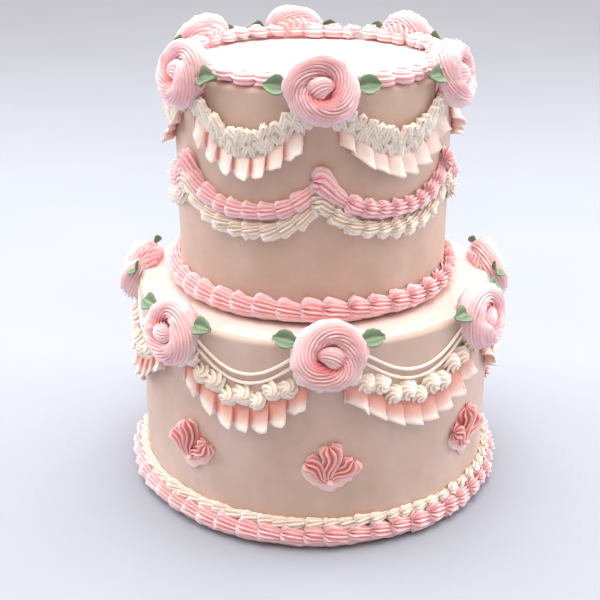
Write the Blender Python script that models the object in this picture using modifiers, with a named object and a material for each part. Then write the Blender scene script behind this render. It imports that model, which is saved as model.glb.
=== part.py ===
"""Two-tier lambeth cake. One object per piped piece, in metres, +Z up, with the front towards -Y.

Lengths below are in millimetres and angles in degrees, counted from the front towards the cake's right (+X).
"""

from math import cos, pi, radians, sin

import bpy
import numpy as np
from mathutils import Matrix, Vector

MM = 0.001
GAP = 0.4
TIER_STEPS = 48
CUTTER_STEPS = 32

LOWER_RADIUS = 101.2
LOWER_TOP = 118.3
UPPER_RADIUS = 75.4
UPPER_FLOOR = LOWER_TOP + 0.3
UPPER_TOP = 239.6
UPPER_SHIFT = -1.7
EDGE_ROUND = 2.6

UPPER_ROSE_ANGLES = (3.4, 66.0, 136.0, 189.4, 235.3, 303.0)
UPPER_ROSE_RADIUS = 19.0
UPPER_ROSE_OFFSET = 80.6
UPPER_ROSE_HEIGHT = 241.0
UPPER_ROSE_TILT = 20.0
LOWER_ROSE_ANGLES = (3.9, 60.0, 99.0, 150.0, 206.0, 262.0, 313.8)
LOWER_ROSE_RADIUS = 20.0
LOWER_ROSE_OFFSET = 107.2
LOWER_ROSE_HEIGHT = 113.0
LOWER_ROSE_TILT = 14.0
MOTIF_ANGLES = (4.6, 54.7, 101.0, 151.0, 205.0, 261.0, 319.3)
MOTIF_WIDTH = 34.0
MOTIF_HEIGHT = 28.0
MOTIF_MIDDLE = 51.0

SCROLL_LOW = 212.0
SCROLL_RISE = 32.0
SCROLL_CAP = 228.0
SCROLL_WIDTH = 14.0
UPPER_TUCK = 9.5
LOWER_TUCK = 8.4
UPPER_RUFFLE_DROP = 15.0
CHAIN_LOW = 177.0
CHAIN_RISE = 17.0
STARS_LOW = 85.0
STARS_RISE = 36.0
STARS_CAP = 100.0
LOWER_RUFFLE_DROP = 15.5
STRING_THICK = 1.6
STRING_RISE = 38.0

PINK = (0.95, 0.50, 0.50)
CREAM = (0.90, 0.80, 0.70)
BLUSH = (0.93, 0.76, 0.70)
CORAL = (0.93, 0.66, 0.62)
GREEN = (0.30, 0.50, 0.32)

RANDOM = np.random.default_rng(8)


def clear_scene():
    """Remove every object that is already in the file."""
    for obj in list(bpy.data.objects):
        bpy.data.objects.remove(obj, do_unlink=True)


def new_collection(name, hidden=False):
    """Make a collection in the scene, left out of renders when hidden."""
    group = bpy.data.collections.new(name)
    bpy.context.scene.collection.children.link(group)
    group.hide_render = hidden
    return group


def icing(name, colour, roughness=0.5):
    """Make an opaque icing material."""
    material = bpy.data.materials.new(name)
    material.use_nodes = True
    shader = material.node_tree.nodes["Principled BSDF"]
    shader.inputs["Base Color"].default_value = (*colour, 1.0)
    shader.inputs["Roughness"].default_value = roughness
    shader.inputs["Metallic"].default_value = 0.0
    material.diffuse_color = (*colour, 1.0)
    return material


def add_mesh(name, points, faces, material, group):
    """Make a mesh object from points in millimetres."""
    mesh = bpy.data.meshes.new(name)
    mesh.from_pydata((np.asarray(points, float) * MM).tolist(), [], faces)
    mesh.materials.append(material)
    obj = bpy.data.objects.new(name, mesh)
    group.objects.link(obj)
    return obj


def add_turned(name, profile, steps, shift, material, group):
    """Turn a profile of (radius, height), listed from the top down, round a vertical axis."""
    points = [(radius, 0.0, height) for radius, height in profile]
    mesh = bpy.data.meshes.new(name)
    mesh.from_pydata(
        [tuple(value * MM for value in point) for point in points],
        [(i, i + 1) for i in range(len(points) - 1)],
        [],
    )
    if material:
        mesh.materials.append(material)
    obj = bpy.data.objects.new(name, mesh)
    obj.location.x = shift * MM
    screw = obj.modifiers.new("Turn", "SCREW")
    screw.axis = "Z"
    screw.steps = steps
    screw.render_steps = steps
    screw.use_merge_vertices = True
    screw.merge_threshold = 0.00001
    group.objects.link(obj)
    return obj


def add_cutter(name, radius, steps_out, shift, group):
    """A hidden turned solid that clears a tier and the piping that runs behind its rosettes.

    Its outline is given as (distance out from the wall, height). It is widened so that the flats of
    its coarse polygon still clear the true radius.
    """
    widen = 1 / cos(pi / CUTTER_STEPS)
    outline = [((radius + out) * widen, height) for out, height in steps_out]
    cutter = add_turned(name, outline, CUTTER_STEPS, shift, None, group)
    cutter.hide_render = True
    cutter.display_type = "WIRE"
    return cutter


def tier_profile(radius, floor, top):
    """Half outline of a tier with a softly rounded top edge."""
    arc = [radians(a) for a in (90, 50, 0)]
    inner = radius - EDGE_ROUND
    rounded = [(inner + EDGE_ROUND * cos(a), top - EDGE_ROUND + EDGE_ROUND * sin(a)) for a in arc]
    return [(0.0, top), *rounded, (radius, floor), (0.0, floor)]


def spans(anchors):
    """Start and width of each stretch between neighbouring anchor angles."""
    order = sorted(angle % 360 for angle in anchors)
    following = order[1:] + order[:1]
    return [(a, (b - a) % 360 or 360.0) for a, b in zip(order, following)]


def stations(anchors, radius, pitch, phases):
    """Lay whole pieces of about one pitch along each stretch.

    Gives arrays of the angle, the place within the stretch from 0 to 1, the phase number, a random
    number from -1 to 1 that is the same all over one piece, and the degrees to the nearer anchor.
    """
    rows = []
    for start, width in spans(anchors):
        count = max(2, round(radians(width) * radius / pitch))
        for piece in range(count):
            chance = RANDOM.uniform(-1, 1)
            for number, phase in enumerate(phases):
                place = (piece + phase) / count
                tucked = width * min(place, 1 - place)
                rows.append((start + width * place, place, number, chance, tucked))
    angle, place, number, chance, tucked = np.array(rows).T
    return angle, place, number.astype(int), chance, tucked


def swag(place, low, rise, cap):
    """Height of a sagging line: a parabola that levels off under the rosettes."""
    height = low + rise * (1 - 2 * place) ** 2
    soft = 3.0
    return -soft * np.log(np.exp(-height / soft) + np.exp(-cap / soft))


def chain_line(place):
    """Height of the shell chain: a flat sag with a pointed peak under each rosette."""
    return CHAIN_LOW + CHAIN_RISE * np.abs(1 - 2 * place) ** 2.6


def fold(face, station, corner):
    """Split a face of a pleated strip so that both of its sides crease from the crest's edge."""
    a, b, c, d = face
    if (station % 2 == 1) == (corner < 2):
        return [(a, b, c), (a, c, d)]
    return [(a, b, d), (b, c, d)]


def add_ring(name, angles, section, shift, material, group, pleated=False):
    """Loft a closed ring through sections of (radius, height), listed counter-clockwise."""
    turn = np.radians(angles)[:, None]
    radius, height = section[..., 0], section[..., 1]
    points = np.stack([shift + radius * np.sin(turn), -radius * np.cos(turn), height], axis=-1)
    count, corners = radius.shape
    faces = []
    for i in range(count):
        for j in range(corners):
            k = (j + 1) % corners
            following = (i + 1) % count * corners
            face = (i * corners + j, following + j, following + k, i * corners + k)
            faces += fold(face, i, j) if pleated else [face]
    return add_mesh(name, points.reshape(-1, 3), faces, material, group)


def sections(*corners):
    """Stack (radius, height) corner arrays into one section for each station."""
    count = max(np.size(value) for corner in corners for value in corner)
    whole = [[np.broadcast_to(value, count) for value in corner] for corner in corners]
    return np.moveaxis(np.array(whole, float), 2, 0)


def add_base_shells(material, group):
    """Large shells round the foot of the lower tier."""
    angle, _, number, chance, _ = stations((0.0,), LOWER_RADIUS + 8, 18.5, (0.0, 0.22, 0.6))
    size = np.array((0.72, 1.04, 0.97))[number] * (1 + 0.04 * chance)
    back = LOWER_RADIUS + GAP
    section = sections(
        (back, 0.0),
        (back + 9.3 * size, 0.0),
        (back + 7.9 * size, 6.8 * size),
        (back, 9.4),
    )
    return add_ring("base_shells", angle, section, 0.0, material, group)


def add_base_beads(material, group):
    """Small shells on top of the large ones."""
    angle, _, number, chance, _ = stations((0.0,), LOWER_RADIUS + 3, 11.6, (0.0, 0.4))
    size = np.array((0.7, 1.05))[number] * (1 + 0.06 * chance)
    back = LOWER_RADIUS + GAP
    section = sections(
        (back, 9.9),
        (back + 4.8 * size, 11.8),
        (back, 16.4),
    )
    return add_ring("base_beads", angle, section, 0.0, material, group)


def add_foot_shells(material, group):
    """Shells where the upper tier stands on the lower one."""
    angle, _, number, chance, _ = stations((0.0,), UPPER_RADIUS + 4, 14.8, (0.0, 0.25, 0.65))
    size = np.array((0.76, 1.05, 0.97))[number] * (1 + 0.05 * chance)
    back = UPPER_RADIUS + GAP
    floor = LOWER_TOP + GAP
    section = sections(
        (back, floor),
        (back + 7.8 * size, floor),
        (back + 6.6 * size, floor + 7.6 * size),
        (back, floor + 9.5 + 4.6 * size),
    )
    return add_ring("foot_shells", angle, section, UPPER_SHIFT, material, group)


def add_rim_swirls(material, group):
    """Small swirls along the top edge of the upper tier."""
    angle, _, number, chance, _ = stations((0.0,), 70.0, 14.0, (0.0, 0.3, 0.7))
    size = np.array((0.7, 1.0, 0.97))[number] * (1 + 0.05 * chance)
    floor = UPPER_TOP + GAP
    middle = 70.2
    section = sections(
        (middle - 6.2 * size, floor),
        (middle + 6.2 * size, floor),
        (middle + 5.0 * size, floor + 5.4 * size),
        (middle - 3.4 * size, floor + 8.2 * size),
    )
    return add_ring("rim_swirls", angle, section, UPPER_SHIFT, material, group)


def end_swell(tucked, thin_until, least):
    """Thickness factor of a garland, thin where its ends are tucked under the rosettes."""
    return least + (1 - least) * np.clip((tucked - thin_until) / 4.5, 0, 1)


def add_upper_scroll(material, group):
    """Cream rope piped to and fro between the upper rosettes."""
    angle, place, number, chance, tucked = stations(
        UPPER_ROSE_ANGLES, UPPER_RADIUS + 4, 7.9, (0.0, 0.5)
    )
    swell = end_swell(tucked, UPPER_TUCK, 0.5)
    middle = swag(place, SCROLL_LOW, SCROLL_RISE, SCROLL_CAP)
    half = SCROLL_WIDTH / 2 * (0.5 + 0.5 * swell)
    zigzag = np.where(number == 0, -1, 1) * 1.5 * swell + 0.3 * chance
    reach = 6.0 * swell
    back = UPPER_RADIUS + GAP
    section = sections(
        (back, middle - half),
        (back + reach, middle - half * 0.55 + zigzag),
        (back + reach, middle + half * 0.55 + zigzag),
        (back, middle + half),
    )
    return add_ring("upper_scroll", angle, section, UPPER_SHIFT, material, group)


def ruffle_section(back, root, edge, number, chance, flare):
    """A thin strip that hangs from its root and waves in and out along its edge."""
    outward = np.where(number == 0, 1.2, flare * (1 + 0.08 * chance))
    return sections(
        (back + outward, edge),
        (back + outward + 1.0, edge + 0.2),
        (back + 1.3, root),
        (back + 0.1, root),
    )


def add_upper_ruffle(material, group):
    """Pleated strip that hangs below the upper garland."""
    angle, place, number, chance, tucked = stations(
        UPPER_ROSE_ANGLES, UPPER_RADIUS + 5, 9.2, (0.0, 0.5)
    )
    middle = swag(place, SCROLL_LOW, SCROLL_RISE, SCROLL_CAP)
    half = SCROLL_WIDTH / 2 * (0.5 + 0.5 * end_swell(tucked, UPPER_TUCK, 0.5))
    edge = middle - UPPER_RUFFLE_DROP + 0.5 * chance
    section = ruffle_section(UPPER_RADIUS + GAP, middle - half - 0.7, edge, number, chance, 6.4)
    return add_ring("upper_ruffle", angle, section, UPPER_SHIFT, material, group, pleated=True)


def add_pink_chain(material, group):
    """Pink shells in swags low on the upper tier."""
    angle, place, number, chance, _ = stations(UPPER_ROSE_ANGLES, UPPER_RADIUS + 3, 8.8, (0.0, 0.4))
    size = np.array((0.72, 1.04))[number] * (1 + 0.06 * chance)
    middle = chain_line(place)
    back = UPPER_RADIUS + GAP
    section = sections(
        (back, middle - 4.3),
        (back + 5.0 * size, middle - 2.6 * size),
        (back + 5.0 * size, middle + 2.6 * size),
        (back, middle + 4.3),
    )
    return add_ring("pink_chain", angle, section, UPPER_SHIFT, material, group)


def add_cream_chain(material, group):
    """Cream shells directly below the pink ones."""
    angle, place, number, chance, _ = stations(UPPER_ROSE_ANGLES, UPPER_RADIUS + 3, 8.8, (0.0, 0.4))
    size = np.array((0.72, 1.04))[number] * (1 + 0.06 * chance)
    top = chain_line(place) - 4.9
    back = UPPER_RADIUS + GAP
    section = sections(
        (back, top - 10.6),
        (back + 5.2 * size, top - 5.8),
        (back, top),
    )
    return add_ring("cream_chain", angle, section, UPPER_SHIFT, material, group)


def add_string(name, low, cap, material, group):
    """A thin string that droops from rosette to rosette: a round bevelled curve."""
    angle, place, _, _, _ = stations(LOWER_ROSE_ANGLES, LOWER_RADIUS, 15.5, (0.0,))
    height = swag(place, low, STRING_RISE, cap)
    radius = LOWER_RADIUS + GAP + STRING_THICK / 2 + 0.1
    turn = np.radians(angle)
    curve = bpy.data.curves.new(name, "CURVE")
    curve.dimensions = "3D"
    curve.bevel_depth = STRING_THICK / 2 * MM
    curve.bevel_resolution = 0
    spline = curve.splines.new("POLY")
    spline.points.add(len(angle) - 1)
    for point, t, z in zip(spline.points, turn, height):
        point.co = (radius * sin(t) * MM, -radius * cos(t) * MM, float(z) * MM, 1.0)
    spline.use_cyclic_u = True
    curve.materials.append(material)
    obj = bpy.data.objects.new(name, curve)
    group.objects.link(obj)
    return obj


def add_lower_stars(material, group):
    """Cream star-shaped dollops in swags between the lower rosettes."""
    angle, place, number, chance, tucked = stations(
        LOWER_ROSE_ANGLES, LOWER_RADIUS + 4, 12.3, (0.0, 0.5)
    )
    swell = end_swell(tucked, LOWER_TUCK, 0.42)
    size = np.array((0.74, 1.05))[number] * (1 + 0.06 * chance) * swell
    middle = swag(place, STARS_LOW, STARS_RISE, STARS_CAP)
    half = 5.4 * (0.8 + 0.2 * swell)
    back = LOWER_RADIUS + GAP
    section = sections(
        (back, middle - half),
        (back + 6.4 * size, middle - half * 0.5),
        (back + 6.4 * size, middle + half * 0.5),
        (back, middle + half),
    )
    return add_ring("lower_stars", angle, section, 0.0, material, group)


def add_lower_ruffle(material, group):
    """Pleated strip that hangs below the star garland."""
    angle, place, number, chance, _ = stations(LOWER_ROSE_ANGLES, LOWER_RADIUS + 5, 10.2, (0.0, 0.5))
    middle = swag(place, STARS_LOW, STARS_RISE, STARS_CAP)
    edge = middle - LOWER_RUFFLE_DROP + 0.5 * chance
    section = ruffle_section(LOWER_RADIUS + GAP, middle - 6.3, edge, number, chance, 6.6)
    return add_ring("lower_ruffle", angle, section, 0.0, material, group, pleated=True)


def motif_outline(from_top):
    """Reach of the fan by angle from the top: three lobes fanned out above a pointed foot."""
    away = np.degrees(np.abs(from_top))
    lobes = 0.86 + 0.14 * np.cos(2 * pi * away / 70)
    foot = 0.72 + 0.28 * (away - 105) / 75
    return np.where(away < 105, lobes, foot)


def motif_mesh(material, group):
    """Three low shells fanned out from a round bead near the foot, the back curved to the wall."""
    spokes, rings = 16, (0.5, 1.0)
    from_top = np.linspace(-pi, pi, spokes, endpoint=False)
    turn = from_top + pi / 2
    outline = motif_outline(from_top)
    crest = (outline - 0.72) / 0.28
    rows = []
    for ring in rings:
        reach = outline * ring
        depth = 4.0 - 2.4 * ring**2 + 1.5 * crest
        rows.append((reach * np.cos(turn), reach * np.sin(turn), depth))
    rows.append((outline * np.cos(turn), outline * np.sin(turn), 0 * turn))
    grid = np.array(rows).transpose(0, 2, 1).reshape(-1, 3)
    plane = np.vstack([grid, [(0.0, -0.42, 5.6), (0.0, 0.0, 0.0)]])
    angle = plane[:, 0] * MOTIF_WIDTH / 2 / LOWER_RADIUS
    radius = LOWER_RADIUS + GAP + 0.1 + plane[:, 2]
    height = MOTIF_MIDDLE + plane[:, 1] * MOTIF_HEIGHT / 2
    points = np.stack([radius * np.sin(angle), -radius * np.cos(angle), height], axis=-1)
    front, back = len(plane) - 2, len(plane) - 1
    faces = []
    for j in range(spokes):
        k = (j + 1) % spokes
        faces.append((j, k, front))
        for ring in range(len(rings)):
            a, b = ring * spokes, (ring + 1) * spokes
            faces.append((a + j, b + j, b + k, a + k))
        last = len(rings) * spokes
        faces.append((last + k, last + j, back))
    obj = add_mesh("motif_1", points, faces, material, group)
    return obj


def add_motifs(material, group):
    """One fan below each lower rosette, all turned copies of the first."""
    first = motif_mesh(material, group)
    first.rotation_euler.z = radians(MOTIF_ANGLES[0])
    for number, angle in enumerate(MOTIF_ANGLES[1:], 2):
        copy = bpy.data.objects.new(f"motif_{number}", first.data)
        copy.rotation_euler.z = radians(angle)
        group.objects.link(copy)


def rosette_mesh(name, radius, material):
    """A domed swirl: ridges that curve out from a star centre, one outer turn, and a mound behind."""
    spokes = 14
    rings = ((0.36, 6.4, 1.6), (0.60, 4.0, 0.8), (0.84, 4.6, 1.4), (1.0, 0.4, 0.6))
    ridge = np.where(np.arange(spokes) % 2 == 0, 0.5, -0.5)
    base = np.linspace(0, 2 * pi, spokes, endpoint=False)
    rows = []
    for reach, height, relief in rings:
        turn = base - 1.1 * reach
        spread = radius * reach * (1 + 0.04 * ridge * (reach == 1.0))
        rows.append((spread * np.cos(turn), spread * np.sin(turn), height + relief * ridge))
    turn = base - 1.1
    rows.append((0.70 * radius * np.cos(turn), 0.70 * radius * np.sin(turn), -12.0 + 0 * turn))
    grid = np.array(rows).transpose(0, 2, 1).reshape(-1, 3)
    points = np.vstack([grid, [(0, 0, 7.4)]])
    faces = []
    for j in range(spokes):
        k = (j + 1) % spokes
        faces.append((j, k, len(points) - 1))
        for ring in range(len(rings)):
            a, b = ring * spokes, (ring + 1) * spokes
            faces.append((a + j, b + j, b + k, a + k))
    last = len(rings) * spokes
    faces.append(tuple(last + j for j in reversed(range(spokes))))
    mesh = bpy.data.meshes.new(name)
    mesh.from_pydata((points * MM).tolist(), [], faces)
    mesh.materials.append(material)
    return mesh


def outward_frame(angle, offset, height, tilt, shift, roll=0.0):
    """Matrix that takes x to the right, y up and z outward at a place on the wall, tilted upward."""
    t, lean, spin = radians(angle), radians(tilt), radians(roll)
    right = Vector((cos(t), sin(t), 0))
    out = Vector((sin(t) * cos(lean), -cos(t) * cos(lean), sin(lean)))
    up = out.cross(right)
    across = right * cos(spin) + up * sin(spin)
    along = up * cos(spin) - right * sin(spin)
    place = Vector((shift + offset * sin(t), -offset * cos(t), height)) * MM
    turned = Matrix((across, along, out)).transposed()
    return Matrix.Translation(place) @ turned.to_4x4()


def add_rosettes(tier, angles, radius, offset, height, tilt, shift, cutter, material, group):
    """Rosettes round the edge of a tier, each cut back from the wall and from what lies behind."""
    mesh = rosette_mesh(f"{tier}_rosette", radius, material)
    for number, angle in enumerate(angles, 1):
        obj = bpy.data.objects.new(f"{tier}_rosette_{number}", mesh)
        roll = RANDOM.uniform(0, 360)
        obj.matrix_world = outward_frame(angle, offset, height, tilt, shift, roll)
        group.objects.link(obj)
        cut = obj.modifiers.new("Seat", "BOOLEAN")
        cut.operation = "DIFFERENCE"
        cut.solver = "EXACT"
        cut.object = cutter


def leaf_mesh(material):
    """A pointed leaf 12 mm long with a fold along the middle and a wave across, 0.9 mm thick."""
    stops = ((3.0, 4.2), (8.0, 3.9))
    wave = (0.9, -0.3)
    points = [(0.0, 0.0, 0.0)]
    for (x, half), lift in zip(stops, wave):
        points += [(x, -half, lift + 0.22 * half), (x, 0.0, lift), (x, half, 0.22 * half - lift * 0.5)]
    points.append((12.0, 0.0, 1.2))
    faces = [(0, 1, 2), (0, 2, 3), (1, 4, 5, 2), (2, 5, 6, 3), (4, 7, 5), (5, 7, 6)]
    mesh = bpy.data.meshes.new("leaf")
    mesh.from_pydata((np.array(points) * MM).tolist(), [], faces)
    mesh.materials.append(material)
    return mesh


def add_leaves(tier, angles, reach, offset, height, tilt, shift, mesh, group):
    """Two leaves for each rosette, pointing away from it on either side."""
    for number, angle in enumerate(angles, 1):
        for side, way in (("left", -1), ("right", 1)):
            obj = bpy.data.objects.new(f"{tier}_leaf_{number}_{side}", mesh)
            roll = (180 if way < 0 else 0) + way * RANDOM.uniform(-4, 14)
            root = np.degrees(reach / offset) * way
            obj.matrix_world = outward_frame(angle + root, offset, height, tilt, shift, roll)
            group.objects.link(obj)
            thick = obj.modifiers.new("Thick", "SOLIDIFY")
            thick.thickness = 0.9 * MM
            thick.offset = 1.0


def main():
    clear_scene()
    cake = new_collection("lambeth_cake")
    helpers = new_collection("cutters", hidden=True)
    pink, cream = icing("pink_icing", PINK), icing("cream_icing", CREAM)
    blush = icing("blush_icing", BLUSH, 0.45)
    coral, green = icing("coral_icing", CORAL), icing("green_icing", GREEN)

    lower = tier_profile(LOWER_RADIUS, 0.0, LOWER_TOP)
    upper = tier_profile(UPPER_RADIUS, UPPER_FLOOR, UPPER_TOP)
    add_turned("lower_tier", lower, TIER_STEPS, 0.0, blush, cake)
    add_turned("upper_tier", upper, TIER_STEPS, UPPER_SHIFT, blush, cake)

    add_base_shells(pink, cake)
    add_base_beads(cream, cake)
    add_foot_shells(pink, cake)
    add_rim_swirls(pink, cake)
    add_upper_scroll(cream, cake)
    add_upper_ruffle(coral, cake)
    add_pink_chain(pink, cake)
    add_cream_chain(cream, cake)
    add_string("drop_string_1", 98.8, 113.4, cream, cake)
    add_string("drop_string_2", 93.8, 109.2, cream, cake)
    add_lower_stars(cream, cake)
    add_lower_ruffle(coral, cake)
    add_motifs(pink, cake)

    behind_upper = add_cutter(
        "behind_upper", UPPER_RADIUS,
        [(-UPPER_RADIUS, 249.0), (2.4, 249.0), (2.4, 239.0), (GAP, 239.0), (GAP, 234.6),
         (4.0, 234.6), (4.0, 214.0), (-UPPER_RADIUS, 214.0)],
        UPPER_SHIFT, helpers,
    )
    behind_lower = add_cutter(
        "behind_lower", LOWER_RADIUS,
        [(-LOWER_RADIUS, LOWER_TOP + GAP), (GAP, LOWER_TOP + GAP), (GAP, 115.0), (3.8, 115.0),
         (3.8, 84.0), (-LOWER_RADIUS, 84.0)],
        0.0, helpers,
    )

    add_rosettes("upper", UPPER_ROSE_ANGLES, UPPER_ROSE_RADIUS, UPPER_ROSE_OFFSET,
                 UPPER_ROSE_HEIGHT, UPPER_ROSE_TILT, UPPER_SHIFT, behind_upper, pink, cake)
    add_rosettes("lower", LOWER_ROSE_ANGLES, LOWER_ROSE_RADIUS, LOWER_ROSE_OFFSET,
                 LOWER_ROSE_HEIGHT, LOWER_ROSE_TILT, 0.0, behind_lower, pink, cake)
    leaf = leaf_mesh(green)
    add_leaves("upper", UPPER_ROSE_ANGLES, 19.8, 79.6, 243.5, 25.0, UPPER_SHIFT, leaf, cake)
    add_leaves("lower", LOWER_ROSE_ANGLES, 19.4, 103.6, 121.5, 45.0, 0.0, leaf, cake)


main()
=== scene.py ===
"""Looks of a two-tier lambeth cake: smooth tiers, piped borders, swags, ruffles, rosettes and leaves."""

from collections import namedtuple
from math import cos, pi, radians, sin

import bpy
import numpy as np
from bpy.props import FloatProperty, FloatVectorProperty, IntProperty, PointerProperty
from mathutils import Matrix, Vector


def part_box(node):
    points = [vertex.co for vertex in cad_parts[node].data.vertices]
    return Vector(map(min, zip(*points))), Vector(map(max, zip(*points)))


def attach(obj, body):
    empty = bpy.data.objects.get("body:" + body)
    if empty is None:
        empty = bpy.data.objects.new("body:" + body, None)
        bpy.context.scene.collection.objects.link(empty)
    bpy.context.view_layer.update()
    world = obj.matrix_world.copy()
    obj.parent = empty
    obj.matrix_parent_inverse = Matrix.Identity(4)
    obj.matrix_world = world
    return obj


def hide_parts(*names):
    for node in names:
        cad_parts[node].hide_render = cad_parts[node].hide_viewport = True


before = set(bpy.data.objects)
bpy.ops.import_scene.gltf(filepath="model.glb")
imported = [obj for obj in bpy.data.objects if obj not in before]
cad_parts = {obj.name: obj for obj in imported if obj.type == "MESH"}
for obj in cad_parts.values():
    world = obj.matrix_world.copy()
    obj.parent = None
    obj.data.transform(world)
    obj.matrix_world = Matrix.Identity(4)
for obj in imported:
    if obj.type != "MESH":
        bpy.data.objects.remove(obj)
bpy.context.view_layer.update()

bl_info = {
    "name": "Lambeth cake piping",
    "version": (1, 0, 0),
    "blender": (4, 5, 0),
    "location": "View3D > Sidebar > Cake",
    "description": "Pipes the borders, swags, ruffles, rosettes and leaves of a two-tier cake",
    "category": "Add Mesh",
}

MM = 0.001
Tier = namedtuple("Tier", "name roses radius shift floor top")


def tier_of(name, roses):
    """A tier's radius, sideways shift, foot and top, read from its box in the frame."""
    low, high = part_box(name + "_tier")
    return Tier(name, roses, (high.x - low.x) / 2, (high.x + low.x) / 2, low.z, high.z)


# The tiers with their rosettes, and the fans, in degrees from the front towards the cake's right.
LOWER = tier_of("lower", (3.9, 60.0, 99.0, 150.0, 206.0, 262.0, 313.8))
UPPER = tier_of("upper", (3.4, 66.0, 136.0, 189.4, 235.3, 303.0))
MOTIF_ANGLES = (4.6, 54.7, 101.0, 151.0, 205.0, 261.0, 319.3)

# Heights of the swags: lowest point, rise to the rosettes and the height where they level off.
SCROLL_SAG = (212.0 * MM, 32.0 * MM, 228.0 * MM)
STARS_SAG = (85.0 * MM, 36.0 * MM, 100.0 * MM)
STRING_SAGS = ((98.8 * MM, 38.0 * MM, 113.4 * MM), (93.8 * MM, 38.0 * MM, 109.2 * MM))
CHAIN_LOW = 177.0 * MM
CHAIN_RISE = 17.0 * MM

# A row of shells: half thickness, ridges round each and their depth, length in pitches, distance of the
# middle from the wall, how much further out and how much higher the head is than the tail, how far the
# ridges start before the grooves, how torn they are, and the rings in each shell's mesh.
Shell = namedtuple("Shell", "thick ridges depth length out lift lean jag torn rings", defaults=(20,))
SHELL_FINE = 6
SHELL_FLAT = 0.88

# A star nozzle: ridges round the icing and their depth, mesh points for each ridge, how high the icing
# lies for its width, and how torn its ridges are.
Nozzle = namedtuple("Nozzle", "ridges depth fine flat torn", defaults=(1.0, 0.0))

# Directions in a piece's own axes, which are along the wall, up it and out of it.
UPWARD = (0.0, 1.0, 0.0)
OUTWARD = (0.0, 0.0, 1.0)

# The foot of a fan above the floor, and its shells as lean in degrees, length and half width.
FAN_FOOT = 39.0 * MM
FAN_SHELLS = ((-46, 20.0 * MM, 6.2 * MM), (46, 20.0 * MM, 6.2 * MM), (-3, 25.0 * MM, 7.2 * MM))

# How far the rim swirls stand in from the wall, and how much wider than high the rosettes are.
RIM_INSET = 5.2 * MM
ROSETTE_STRETCH = 0.06

# An icing: its slot in the frame, its colours in IcingColours (the first a darker colour of painted shade,
# for the ruffles also their coral root), how translucent it is, how strong its grain.
Icing = namedtuple("Icing", "slot groove ridge soft bump", defaults=(0.12, 0.25))
ICINGS = {
    "tier": Icing("tier_icing", "tier_wall_painted_shade", "tier", 0.1, 0.12),
    "pink": Icing("pink_icing", "pink_groove_painted_shade", "pink"),
    # The fans are the pink icing, given a darker copy of its colours as painted shade low on the front wall.
    "fan": Icing("pink_icing", "fan_groove_painted_shade", "fan"),
    "cream": Icing("cream_icing", "cream_groove_painted_shade", "cream"),
    "ruffle": Icing("ruffle_icing", "ruffle_root_and_painted_shade", "ruffle", 0.2),
    "leaf": Icing("green_icing", "leaf_hollow_painted_shade", "leaf", 0.08),
}

# The stage: the floor and the camera in metres and degrees, the lens in millimetres, colours of the light.
FLOOR_RADIUS = 6.0
FLOOR_SIDES = 96
CAMERA_PLACE = (0.0, -0.606, 0.3585)
CAMERA_DOWN = 23.17
CAMERA_TURN = 0.84
CAMERA_LENS = 67.33
WHITE = (1.0, 0.99, 0.97)
COOL = (0.94, 0.97, 1.0)
WARM = (1.0, 0.72, 0.58)
PAPER = (0.66, 0.67, 0.72)


def length(name, description, millimetres):
    """A length setting whose default is given in millimetres."""
    return FloatProperty(
        name=name, description=description, default=millimetres * MM, min=0.0, unit="LENGTH", precision=4
    )


def number(name, description, default):
    """A whole-number setting."""
    return IntProperty(name=name, description=description, default=default, min=1)


def colour(name, description, value):
    """A colour setting in linear red, green and blue."""
    return FloatVectorProperty(
        name=name, description=description, default=value, size=3, min=0.0, max=1.0, subtype="COLOR"
    )


def strength(name, description, default):
    """A light's strength."""
    return FloatProperty(name=name, description=description, default=default, min=0.0)


class PipingSizes(bpy.types.PropertyGroup):
    """Sizes of the piped pieces"""

    hand: length("Hand smoothing", "How far the smoothed tiers wander from true", 0.25)
    base_shell: length("Base shell", "Half thickness of the shells round the foot of the cake", 6.9)
    base_pitch: length("Base pitch", "Distance between those shells", 12.4)
    bead: length("Bead", "Half thickness of the small shells on top of them", 3.7)
    bead_pitch: length("Bead pitch", "Distance between the small shells", 9.0)
    foot_shell: length("Foot shell", "Half thickness of the shells where the tiers meet", 6.9)
    foot_pitch: length("Foot pitch", "Distance between those shells", 12.6)
    rim_rope: length("Rim rope", "Half thickness of the rope in the rim swirls", 3.5)
    rim_pitch: length("Rim pitch", "Distance between the rim swirls", 11.6)
    garland_rope: length("Garland rope", "Half thickness of the rope in the upper garland", 2.35)
    garland_pitch: length("Garland pitch", "Distance between the folds of the upper garland", 4.9)
    garland_width: length("Garland width", "Height of the folds of the upper garland", 15.6)
    upper_pleat: length("Upper pleat", "Width of a pleat under the upper garland", 9.2)
    lower_pleat: length("Lower pleat", "Width of a pleat under the star garland", 10.2)
    flare: length("Ruffle flare", "How far the ruffles stand out at their edge", 7.0)
    chain_pitch: length("Chain pitch", "Distance between the shells of the swags", 8.8)
    pink_shell: length("Pink swag shell", "Half thickness of the pink swag shells", 5.5)
    cream_shell: length("Cream swag shell", "Half thickness of the cream swag shells", 5.6)
    string: length("String", "Thickness of the drop strings", 1.7)
    star: length("Star", "Half width of a star in the lower garland", 6.4)
    star_pitch: length("Star pitch", "Distance between those stars", 8.2)
    upper_rosette: length("Upper rosette", "Half width of the upper rosettes", 19.0)
    lower_rosette: length("Lower rosette", "Half width of the lower rosettes", 20.0)
    rosette_ridges: number("Rosette ridges", "Ridges round the rope of a rosette", 20)
    leaf: length("Leaf", "Length of a leaf", 12.5)
    seed: number("Seed", "Start of the random unevenness", 8)


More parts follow.
